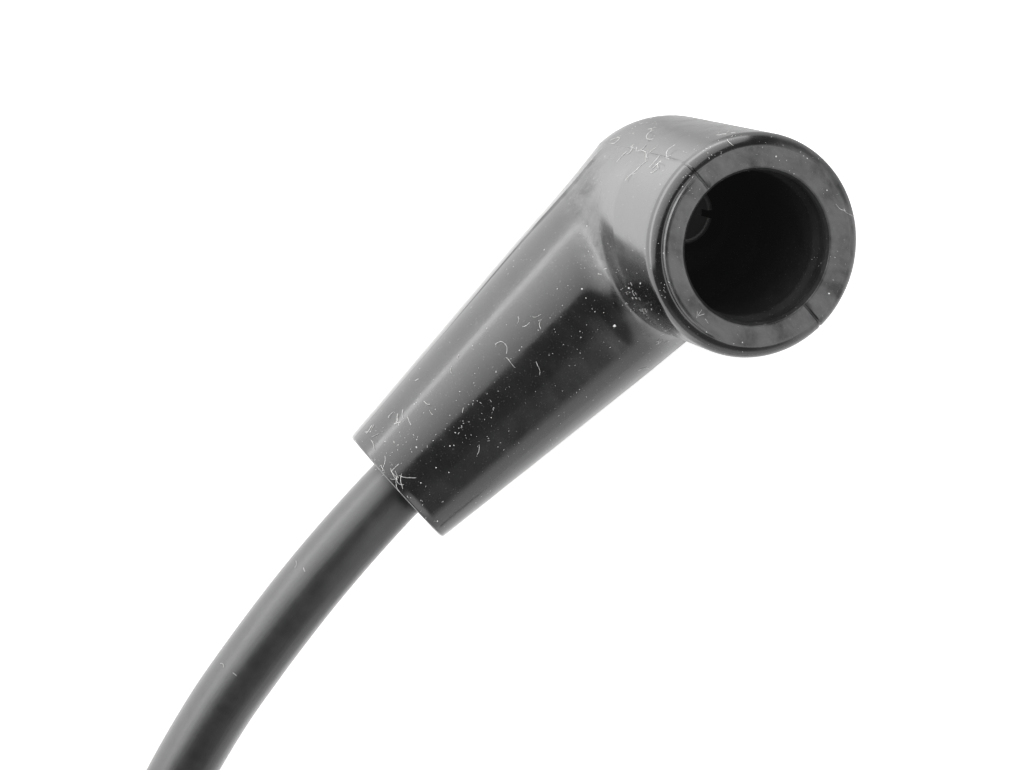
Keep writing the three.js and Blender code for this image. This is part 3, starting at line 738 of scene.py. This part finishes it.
cup_floor = SOCKET_RIM_HEIGHT - SOCKET_DEPTH
cup_under = cup_floor - SHEET
cup_outer = SOCKET_BORE_RADIUS + SHEET
cup_base = [
    (0.01, cup_under), (cup_outer - 0.3, cup_under), (cup_outer - 0.09, cup_under + 0.09),
    (cup_outer, cup_under + 0.3), (cup_outer, SLOT_FLOOR), (SOCKET_BORE_RADIUS, SLOT_FLOOR),
    (SOCKET_BORE_RADIUS, cup_floor + 0.2), (SOCKET_BORE_RADIUS - 0.2, cup_floor), (0.01, cup_floor),
]
rim_roll = [
    (cup_outer + 0.2 * math.cos(math.radians(t)),
     SOCKET_RIM_HEIGHT - 0.2 + 0.2 * math.sin(math.radians(t)))
    for t in range(-60, 91, 25)
]
cup_finger = [
    (cup_outer, SLOT_FLOOR), (cup_outer, SOCKET_RIM_HEIGHT - 0.4), *rim_roll,
    (SOCKET_BORE_RADIUS + 0.12, SOCKET_RIM_HEIGHT),
    (SOCKET_BORE_RADIUS + 0.03, SOCKET_RIM_HEIGHT - 0.04),
    (SOCKET_BORE_RADIUS, SOCKET_RIM_HEIGHT - 0.15), (SOCKET_BORE_RADIUS, SLOT_FLOOR),
]
half_slot = math.degrees(SOCKET_SLOT / 2 / SOCKET_BORE_RADIUS)
terminal_pieces = [turned_piece(cup_base, 0, 360, 72, in_cup)]
for middle in (0, 90, 180, 270):
    start, end = middle - 45 + half_slot, middle + 45 - half_slot
    terminal_pieces.append(turned_piece(cup_finger, start, end, 18, in_cup))
crimp_loop = [
    (1.5, 10.7), (1.62, 10.62), (1.88, 10.62), (2.0, 10.7), (2.0, 18.2), (4.7, 18.2), (4.8, 18.3),
    (4.8, 28.9), (4.7, 29.0), (4.4, 29.0), (4.3, 28.9), (4.3, 18.7), (1.5, 18.7),
]
terminal_pieces.append(turned_piece(crimp_loop, 0, 360, 48, along_body))
neck_points = [
    (x + ELBOW_CROSSING[0], y, z + ELBOW_CROSSING[2]) for x in (1.85, 18.45)
    for y, z in ((-1.5, -2.125), (1.5, -2.125), (1.5, -1.625), (-1.5, -1.625))
]
neck_faces = [(0, 1, 2, 3), (7, 6, 5, 4), (0, 4, 5, 1), (1, 5, 6, 2), (2, 6, 7, 3), (3, 7, 4, 0)]
terminal_pieces.append((neck_points, neck_faces))
elbow_terminal = joined_pieces("elbow_socket_terminal", terminal_pieces, tinned_steel)
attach(elbow_terminal, "root")
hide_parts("elbow_terminal")

# Spark plug boot
# Straight boot of the same rubber, turned true, with a bead at its mouth, three collars
# to grip it by and a thinner tail where the cable goes in.
PLUG_BODY_RADIUS = 8.7
PLUG_COLLAR_STAND = 1.3
PLUG_COLLARS = (15.0, 20.5, 26.0)
PLUG_RIBS = (44.0, 50.0, 56.0)
PLUG_BORE_RADIUS = 5.6
PLUG_RIB_STAND = 0.3


def along_plug(x, y, z):
    """From a turned form along the plug boot to the frame, in millimetres."""
    return (plug_rim.x - z, plug_rim.y + x, plug_rim.z + y)


def bead(radius, middle, stand, half_width, steps=12):
    """The rounded section of a bead: radius and height along it."""
    section = []
    for i in range(steps + 1):
        t = -1 + 2 * i / steps
        section.append((radius + stand * (1 - t ** 4) ** 0.75, middle + t * half_width))
    return section


plug_outside = [
    (4.5, 0.0), (6.05, 0.0), (6.45, 0.06), (6.78, 0.27), (6.95, 0.55), (7.0, 0.9), (7.0, 6.0),
    (7.0, 9.6), (7.06, 10.2), (7.3, 10.7), (8.4, 11.7), (8.63, 12.0), (PLUG_BODY_RADIUS, 12.4),
]
for middle in PLUG_COLLARS:
    plug_outside += bead(PLUG_BODY_RADIUS, middle, PLUG_COLLAR_STAND, 1.55)
plug_outside += [(PLUG_BODY_RADIUS, along) for along in (28.5, 32.0, 38.0, 44.0, 50.0, 54.2)]
plug_outside += [
    (8.76, 54.7), (9.0, 55.1), (9.7, 55.8), (9.94, 56.1), (10.0, 56.5), (10.0, 60.9),
    (9.94, 61.3), (9.73, 61.7), (9.4, 61.93), (9.0, 62.0), (6.7, 62.0), (6.45, 61.93),
]
plug_inside = [(5.68, 61.15), (PLUG_BORE_RADIUS, 60.9), (PLUG_BORE_RADIUS, 58.0)]
for middle in reversed(PLUG_RIBS):
    plug_inside += reversed(bead(PLUG_BORE_RADIUS, middle, -PLUG_RIB_STAND, 0.8, steps=8))
plug_inside += [
    (PLUG_BORE_RADIUS, 40.0), (PLUG_BORE_RADIUS, 36.6), (5.5, 36.4), (5.2, 36.15), (5.1, 35.9),
    (5.1, 20.0), (5.1, 6.8), (4.98, 6.6), (4.2, 5.9), (4.08, 5.6), (4.08, 0.6), (4.2, 0.15),
]
plug_boot_pieces = [turned_piece(plug_outside + plug_inside, 0, 360, 96, along_plug)]
plug_boot = joined_pieces("plug_boot_rubber", plug_boot_pieces, boot_rubber, sharp=50)
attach(plug_boot, "root")
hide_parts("plug_boot")
plug_boot.visible_glossy = False

# Spark plug terminal, its spring ring and the two ends of the conductor
# The plug's terminal is pressed from the same sheet; a ring of spring steel round its
# socket snaps over the plug's nut. The conductor is fine wire wound on a fibre core.
spring_steel = metal("spring_steel", (0.42, 0.43, 0.45), (0.16, 0.32))
wound_wire = metal("wound_wire", (0.4, 0.36, 0.3), (0.25, 0.45))
for node_name, finish in (
        ("plug_terminal", tinned_steel), ("plug_terminal_spring", spring_steel),
        ("plug_conductor", wound_wire), ("elbow_conductor", wound_wire)):
    cad_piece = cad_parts[node_name]
    cad_piece.data.materials.clear()
    cad_piece.data.materials.append(finish)

# Lint and dust
# White textile lint and pale dust that the soft rubber holds on to: short curled fibres
# in a few tufts and singly, and specks all over. They cling to the rubber and the cable.
LINT_SEED = 7
FIBRE_RADIUS = 0.018
FIBRE_SIDES = 5
FIBRE_STEP = 0.13
FIBRE_LIFT = 0.03
FIBRE_HIGHEST = 0.35
FIBRE_CURL = 0.042
PICTURE_WIDTH, PICTURE_HEIGHT = 1024, 770
# where the tufts lie in the picture, how wide, how many fibres, and their lengths in mm
LINT_TUFTS = (
    (648, 156, 18, 7, 2.0, 5.5), (625, 149, 16, 3, 2.0, 4.5), (660, 158, 10, 4, 1.0, 3.0),
    (397, 476, 7, 9, 0.7, 2.2), (388, 470, 7, 3, 1.0, 2.5), (455, 358, 7, 2, 0.6, 1.2),
    (506, 357, 8, 2, 1.8, 3.2), (401, 418, 8, 7, 0.5, 1.6), (477, 444, 3, 1, 1.2, 1.8),
    (645, 118, 8, 4, 0.4, 1.2), (724, 138, 10, 5, 0.5, 1.4), (702, 322, 8, 4, 0.6, 1.6),
    (640, 369, 3, 1, 2.0, 3.0), (845, 210, 5, 2, 1.5, 2.6), (540, 330, 30, 5, 0.6, 2.0),
    (430, 400, 30, 4, 0.5, 1.6), (660, 340, 8, 5, 0.5, 1.4), (368, 436, 7, 5, 0.6, 2.0),
    (300, 560, 30, 3, 0.5, 1.4), (220, 680, 30, 2, 0.5, 1.2), (606, 272, 6, 3, 0.5, 1.2),
    (636, 300, 12, 14, 0.1, 0.6), (646, 312, 8, 14, 0.1, 0.5), (628, 288, 8, 9, 0.1, 0.5),
    (470, 420, 40, 30, 0.08, 0.4), (560, 345, 30, 16, 0.08, 0.35), (716, 150, 14, 14, 0.08, 0.35),
    (690, 185, 14, 12, 0.08, 0.35), (400, 440, 26, 12, 0.08, 0.35), (665, 290, 10, 10, 0.08, 0.3),
    (780, 160, 26, 10, 0.08, 0.3), (826, 260, 18, 8, 0.08, 0.3), (650, 150, 30, 10, 0.1, 0.5),
    (380, 462, 14, 10, 0.1, 0.5), (420, 500, 16, 8, 0.1, 0.4), (676, 352, 10, 8, 0.1, 0.4),
)
# single flakes, lit and with a painted glow: where they lie in the picture and their radius in mm
LINT_FLAKES = (
    (614.5, 325.8, 0.17), (776, 156.5, 0.1), (827, 190.3, 0.08), (629, 288, 0.1), (640.4, 283.5, 0.08),
    (829, 293.5, 0.1), (742.5, 342.5, 0.06), (416.5, 447.4, 0.1), (437.3, 521.2, 0.1),
    (450, 446, 0.07), (454, 445.4, 0.06), (455.3, 432.7, 0.06), (436.1, 467.6, 0.08),
    (420.8, 482.9, 0.07), (448.9, 472.4, 0.06), (582, 289, 0.09), (586, 298, 0.07), (587, 226, 0.06),
)
lint_random = random.Random(LINT_SEED)


def surface_of(piece):
    """A tree of the piece's faces, to find its nearest point or the one along a ray."""
    mesh = piece.data
    return BVHTree.FromPolygons(
        [v.co.copy() for v in mesh.vertices], [tuple(p.vertices) for p in mesh.polygons])


elbow_surface = surface_of(elbow_boot)
cable_surface = surface_of(cable)


def under_pixel(x, y):
    """The surface that the camera sees at a place in the picture, or None."""
    reach = camera_data.lens / camera_data.sensor_width * PICTURE_WIDTH
    way = Vector(((x - PICTURE_WIDTH / 2) / reach, (PICTURE_HEIGHT / 2 - y) / reach, -1))
    way = (camera_place.to_3x3() @ way).normalized()
    start = camera_place.translation
    hits = [(surface.ray_cast(start, way), surface) for surface in (elbow_surface, cable_surface)]
    hits = [(hit, surface) for hit, surface in hits if hit[0] is not None]
    return min(hits, key=lambda found: found[0][3]) if hits else None


def fibre_from(place, surface, length):
    """The way of a curled fibre that lies on the surface and lifts off it a little."""
    near, normal, _, _ = surface.find_nearest(place)
    way = normal.orthogonal().normalized()
    way.rotate(Matrix.Rotation(lint_random.uniform(0, 2 * math.pi), 3, normal))
    turn = lint_random.gauss(0, 0.08)
    rise, drift = FIBRE_LIFT, 0.0
    points = []
    for _ in range(max(2, round(length / FIBRE_STEP))):
        points.append(near + normal * rise * MM)
        turn = 0.93 * turn + lint_random.gauss(0, FIBRE_CURL)
        drift = 0.8 * drift + lint_random.gauss(0, 0.012)
        rise = min(FIBRE_HIGHEST, max(FIBRE_LIFT, rise + drift))
        way.rotate(Matrix.Rotation(turn, 3, normal))
        near, normal, _, _ = surface.find_nearest(near + way * FIBRE_STEP * MM)
        way = (way - normal * way.dot(normal)).normalized()
    return points


fibres = []
for x, y, spread, count, shortest, longest in LINT_TUFTS:
    for _ in range(count):
        found = under_pixel(lint_random.gauss(x, spread / 2), lint_random.gauss(y, spread / 2))
        if found:
            length = lint_random.uniform(shortest, longest)
            fibres.append(fibre_from(found[0][0], found[1], length))

# Painted glow: the lint emits a little light of its own, so that it shows brighter than its lighting
# makes it
lint_with_painted_glow, nodes, shader = new_material("lint_with_painted_glow")
lint_tint_and_glow = nodes.noise(nodes.place(), 900, 2)
nodes.feed(shader, {
    "Roughness": 0.8,
    "Sheen Weight": 0.4,
    "Base Color": nodes.shades(lint_tint_and_glow, 0, 1, (0.62, 0.61, 0.6), (0.93, 0.92, 0.9)),
    "Emission Color": (0.95, 0.97, 1, 1),
    "Emission Strength": nodes.spread(lint_tint_and_glow, 0.4, 0.7, 0, 0.5),
})
lint = swept("lint_fibres", fibres, FIBRE_RADIUS * MM, FIBRE_SIDES, lint_with_painted_glow)
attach(lint, "root")

# The flakes are small uneven lumps of the same lint, with its painted glow
flake_mesh = bpy.data.meshes.new("lint_flakes")
flake_work = bmesh.new()
for x, y, radius in LINT_FLAKES:
    found = under_pixel(x, y)
    if found:
        flake = bmesh.ops.create_icosphere(flake_work, subdivisions=2, radius=radius * MM)
        for vertex in flake["verts"]:
            vertex.co = vertex.co * lint_random.uniform(0.8, 1.25) + found[0][0]
flake_work.to_mesh(flake_mesh)
flake_work.free()
flake_mesh.shade_smooth()
flake_mesh.materials.append(lint_with_painted_glow)
flakes = new_object("lint_flakes", flake_mesh)
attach(flakes, "root")

# Dust specks: Geometry Nodes strew them over the boot, half sunk into its skin; they take the lint's
# material with its painted glow
DUST_SEED = 3
DUST_PER_SQUARE_METRE = 190000
DUST_SMALLEST, DUST_LARGEST = 0.018, 0.055
strewer, given, finished = geometry_nodes(
    "strewn_dust", Density="Float", Smallest="Float", Largest="Float", Seed="Int", Finish="Material")
strewn = strewer.add("GeometryNodeDistributePointsOnFaces", {
    "Mesh": given["Geometry"], "Density": given["Density"], "Seed": given["Seed"]}, "Points")
speck_size = strewer.add(
    "FunctionNodeRandomValue", {2: given["Smallest"], 3: given["Largest"]}, 1, data_type="FLOAT")
speck_shape = strewer.add("FunctionNodeRandomValue", {
    "Min": (0.6, 0.6, 0.4), "Max": (1.5, 1.1, 0.9)}, data_type="FLOAT_VECTOR")
specks = strewer.add("GeometryNodeInstanceOnPoints", {
    "Points": strewn,
    "Instance": strewer.add("GeometryNodeMeshIcoSphere", {"Subdivisions": 1, "Radius": 1.0}),
    "Rotation": strewn.node.outputs["Rotation"],
    "Scale": strewer.add(
        "ShaderNodeVectorMath", {0: speck_shape, "Scale": speck_size}, operation="SCALE"),
})
specks = strewer.add("GeometryNodeRealizeInstances", {"Geometry": specks})
specks = strewer.add("GeometryNodeSetMaterial", {"Geometry": specks, "Material": given["Finish"]})
strewer.feed(finished, {"Geometry": specks})

dusty_skin = bmesh.new()
dusty_skin.from_mesh(elbow_boot.data)
clean_faces = [face for face in dusty_skin.faces if face.material_index == 1]
bmesh.ops.delete(dusty_skin, geom=clean_faces, context="FACES")
dusty_mesh = bpy.data.meshes.new("dusty_skin")
dusty_skin.to_mesh(dusty_mesh)
dusty_skin.free()
dust = grown(
    new_object("dusty_skin", dusty_mesh), strewer, "dust_specks", Density=DUST_PER_SQUARE_METRE,
    Smallest=DUST_SMALLEST * MM, Largest=DUST_LARGEST * MM, Seed=DUST_SEED, Finish=lint_with_painted_glow)
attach(dust, "root")

# Table
# A white table top under the wire, which runs out of sight on every side. The camera
# sees it a little brighter than it is lit, so that it is plain white. In the rubber's gloss it
# has a painted reflection: it glows brighter towards the panel's side and to the right.
TABLE_DROP = 0.2
TABLE_HALF_WIDTH = 3.0
TABLE_LIFT_SEEN = 0.68
TABLE_PAINTED_GLOW_BY_PANEL = 1.6
TABLE_PAINTED_GLOW_RIGHT = 0.85
PANEL_SIDE = (0.7, -0.75, 0)
RIGHT_SIDE = (0.4, 1, 0)
table_corners = [
    (x * TABLE_HALF_WIDTH, y * TABLE_HALF_WIDTH, -TABLE_DROP * MM)
    for x, y in ((-1, -1), (1, -1), (1, 1), (-1, 1))
]
table_mesh = bpy.data.meshes.new("white_table")
table_mesh.from_pydata(table_corners, [], [(0, 1, 2, 3)])
table = new_object("white_table", table_mesh)
white_table, nodes, shader = new_material("white_table_top")
table_place = nodes.place()
# painted reflection: a glow seen only by glossy rays, stronger on the panel's side and on the right
painted_panel_side_glow = nodes.spread(
    nodes.towards(table_place, PANEL_SIDE), -0.012, 0.006, 0, TABLE_PAINTED_GLOW_BY_PANEL)
painted_right_side_glow = nodes.spread(nodes.towards(table_place, RIGHT_SIDE), 0.006, 0.03, 0, TABLE_PAINTED_GLOW_RIGHT)
ray = nodes.add("ShaderNodeLightPath").node.outputs
seen_lift = nodes.calc("MULTIPLY", ray["Is Camera Ray"], TABLE_LIFT_SEEN)
painted_reflection_glow = nodes.calc("MAXIMUM", painted_panel_side_glow, painted_right_side_glow)
nodes.feed(shader, {
    "Base Color": (0.86, 0.86, 0.86, 1),
    "Roughness": 0.7,
    "Emission Color": (1, 1, 1, 1),
    "Emission Strength": nodes.calc("MULTIPLY_ADD", ray["Is Glossy Ray"], painted_reflection_glow, seen_lift),
})
table_mesh.materials.append(white_table)

# Studio light
# A wide soft panel stands on the table on the side of the boot's left flank, brightest at
# its foot. Weaker light comes from behind the boot's back and from its right. The ceiling
# between them is dark, and the black rubber shows it as a clean dark band.
PANEL_PLACE = (0.02, -0.1, 0.09)
PANEL_WIDTH = 0.4
PANEL_HEIGHT = 0.176
PANEL_FOOT_LIGHT = 4.3
PANEL_TOP_LIGHT = 1.4
PANEL_FALL = 2.0
BACK_LIGHT = 1.5
SIDE_LIGHT = 0.9
SIDE_LIGHT_WAY = (0.25, 1, 0)
SIDE_LIGHT_FALL = 1.2
ROOM_LIGHT = 0.08
RIGHT_ROOM_LIGHT = 0.14
panel_data = bpy.data.lights.new("soft_panel", "AREA")
panel_data.shape = "RECTANGLE"
panel_data.size = PANEL_WIDTH
panel_data.size_y = PANEL_HEIGHT
# an area light of this power has a radiance of one
panel_data.energy = math.pi * PANEL_WIDTH * PANEL_HEIGHT
panel_data.use_nodes = True
nodes = Nodes(panel_data.node_tree)
panel_height = nodes.split(nodes.add("ShaderNodeNewGeometry", result="Parametric"))["Y"]
panel_fall = nodes.calc("POWER", nodes.calc("SUBTRACT", 1, panel_height), PANEL_FALL)
nodes.feed(nodes.tree.nodes["Emission"], {
    "Strength": nodes.spread(panel_fall, 0, 1, PANEL_TOP_LIGHT, PANEL_FOOT_LIGHT)})
panel = new_object("soft_panel", panel_data)
panel.location = PANEL_PLACE
panel.rotation_euler = (math.radians(90), 0, 0)
panel.visible_camera = False

world = bpy.data.worlds.new("studio")
bpy.context.scene.world = world
world.use_nodes = True
nodes = Nodes(world.node_tree)
sky_way = nodes.add("ShaderNodeTexCoord", result="Generated")
sky_x, sky_y, sky_height = nodes.split(sky_way)
level_way = nodes.add(
    "ShaderNodeVectorMath", {0: nodes.stretched(sky_way, (1, 1, 0))}, operation="NORMALIZE")
# the light at the back covers that half of the room up to the middle of the ceiling
back_edge = nodes.spread(sky_x, -0.02, -0.1, 0, 1)
back_foot = nodes.spread(sky_height, 0.35, 0.65, 0, 1)
back_side = nodes.spread(sky_y, -0.1, 0.2, 0, 1)
back = nodes.calc("MULTIPLY", nodes.calc("MULTIPLY", back_edge, back_foot), back_side)
# the light on the right stays low
to_side = nodes.towards(level_way, Vector(SIDE_LIGHT_WAY).normalized())
side_width = nodes.calc("POWER", nodes.calc("MAXIMUM", to_side, 0), SIDE_LIGHT_FALL)
side = nodes.calc("MULTIPLY", nodes.spread(sky_height, 0.55, 0.35, 0, 1), side_width)
studio = nodes.spread(sky_y, 0.28, 0.36, ROOM_LIGHT, ROOM_LIGHT + RIGHT_ROOM_LIGHT)
studio = nodes.calc("MULTIPLY_ADD", back, BACK_LIGHT, studio)
studio = nodes.calc("MULTIPLY_ADD", side, SIDE_LIGHT, studio)
# the camera sees plain white beyond the table
seen = nodes.add("ShaderNodeLightPath", result="Is Camera Ray")
nodes.feed(nodes.tree.nodes["Background"], {
    "Color": (1, 1, 1, 1), "Strength": nodes.mix("FLOAT", seen, studio, 1)})

bpy.context.scene.view_settings.view_transform = "Standard"
